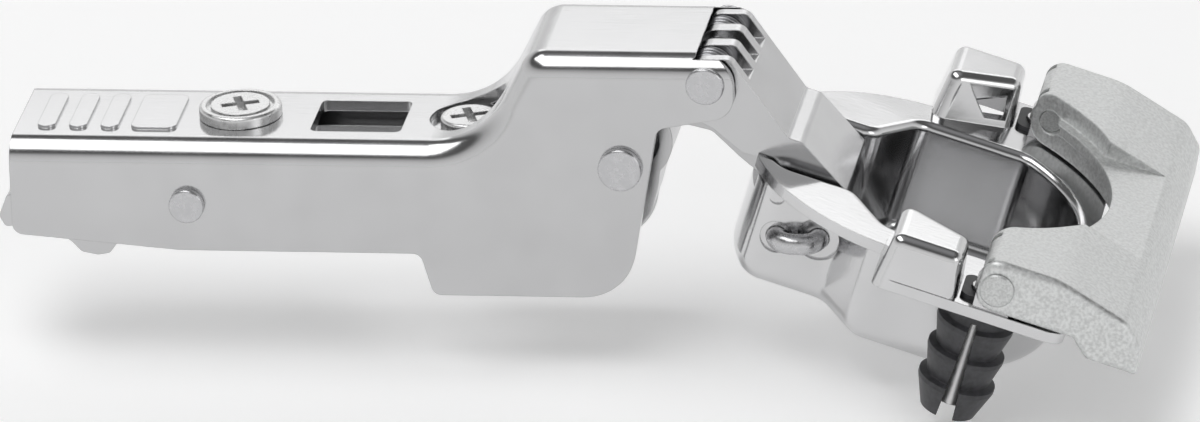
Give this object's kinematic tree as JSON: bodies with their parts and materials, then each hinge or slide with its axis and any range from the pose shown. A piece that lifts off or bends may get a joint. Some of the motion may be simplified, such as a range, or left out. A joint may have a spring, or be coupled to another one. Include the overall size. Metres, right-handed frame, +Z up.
{
  "type": "concealed cup hinge",
  "caption": "Cranked concealed cup hinge, shown open: stamped arm with adjusting screws, two links on a double axle, round door cup with clamping lever and split dowels",
  "frame": {"origin": "mid width, on the plane of the arm's lower edges, under the rear rivet, where the arm sits on its mounting plate", "axes": "+X along the arm towards the cup, +Z up out of the mounting plate, +Y across the arm to the far side"},
  "size_m": [0.1227, 0.0552, 0.0344],
  "materials": {
    "nickel_sheet": "nickel-plated stamped steel, soft bright",
    "nickel_cup": "nickel-plated drawn steel, bright",
    "nickel_rivet": "nickel-plated steel, satin",
    "screw_steel": "plated steel, satin",
    "spring_wire": "spring steel, dark satin",
    "zinc_casting": "die-cast zinc, matte and finely speckled",
    "black_plastic": "dark grey nylon, matte"
  },
  "bodies": {
    "channel": {"inner_channel": "nickel_sheet", "latch_pin": "nickel_rivet", "latch_spring": "spring_wire"},
    "carrier": {"rear_rivet": "nickel_rivet"},
    "arm": {"hinge_arm": "nickel_sheet", "pivot_rivet_a": "nickel_rivet", "pivot_rivet_b": "nickel_rivet", "closing_spring_near": "spring_wire", "closing_spring_far": "spring_wire"},
    "outer": {"outer_link": "nickel_sheet"},
    "cup": {"hinge_cup": "nickel_cup", "axle_wire_near": "nickel_rivet", "axle_wire_far": "nickel_rivet", "dowel_near": "black_plastic", "dowel_far": "black_plastic"},
    "inner": {"inner_link": "nickel_sheet"},
    "spindles": {"spindle_near": "screw_steel", "spindle_far": "screw_steel"},
    "lever": {"clamping_lever": "zinc_casting", "lever_pin_near": "zinc_casting", "lever_pin_far": "zinc_casting"},
    "depth_set": {"depth_screw": "screw_steel"},
    "side_set": {"side_screw": "screw_steel"},
    "latch": {"release_latch": "nickel_sheet"}
  },
  "joints": [
    {"name": "depth_adjust", "type": "slide", "parent": "channel", "child": "carrier", "axis": [1, 0, 0], "range_m": [-0.002, 0.002]},
    {"name": "side_adjust", "type": "hinge", "parent": "carrier", "child": "arm", "pos_m": [0, 0, 0.0052], "axis": [0, 1, 0], "range_deg": [-1.5, 1.5]},
    {"name": "depth_turn", "type": "hinge", "parent": "arm", "child": "depth_set", "pos_m": [0.0046, 0, 0.012], "axis": [0, 0, 1], "range_deg": [-180, 180]},
    {"name": "side_turn", "type": "hinge", "parent": "arm", "child": "side_set", "pos_m": [0.0289, 0, 0.011], "axis": [0, 0, 1], "range_deg": [-180, 180]},
    {"name": "link_fold", "type": "hinge", "parent": "arm", "child": "outer", "pos_m": [0.0553, 0, 0.0194], "axis": [0, 1, 0], "range_deg": [0, 33.7]},
    {"name": "cup_fold", "type": "hinge", "parent": "outer", "child": "cup", "pos_m": [0.06638, 0, 0.00235], "axis": [0, 1, 0], "range_deg": [-142.6, 0]},
    {"name": "inner_fold", "type": "hinge", "parent": "cup", "child": "inner", "pos_m": [0.06202, 0, 0.00257], "axis": [0, 1, 0], "range_deg": [0, 140.5]},
    {"name": "lever_turn", "type": "hinge", "parent": "cup", "child": "lever", "pos_m": [0.08756, 0, 0.00497], "axis": [0, 1, 0], "range_deg": [-48, 0]},
    {"name": "spindle_lift", "type": "slide", "parent": "cup", "child": "spindles", "axis": [0.3223, 0, 0.9466], "range_m": [-0.0006, 0]},
    {"name": "latch_turn", "type": "hinge", "parent": "channel", "child": "latch", "pos_m": [-0.0062, 0, 0.0042], "axis": [0, 1, 0], "range_deg": [0, 10], "stiffness_Nm_per_rad": 0.05, "springref_deg": -5.73}
  ],
  "couplings": [
    {"joint": "depth_turn", "follows": "depth_adjust", "rad_per_m": 1570.8},
    {"joint": "side_turn", "follows": "side_adjust", "ratio": 120},
    {"joint": "cup_fold", "follows": "link_fold", "ratio": -4.2285},
    {"joint": "inner_fold", "follows": "link_fold", "ratio": 4.1674},
    {"joint": "lever_turn", "follows": "spindle_lift", "rad_per_m": 1396.3}
  ]
}
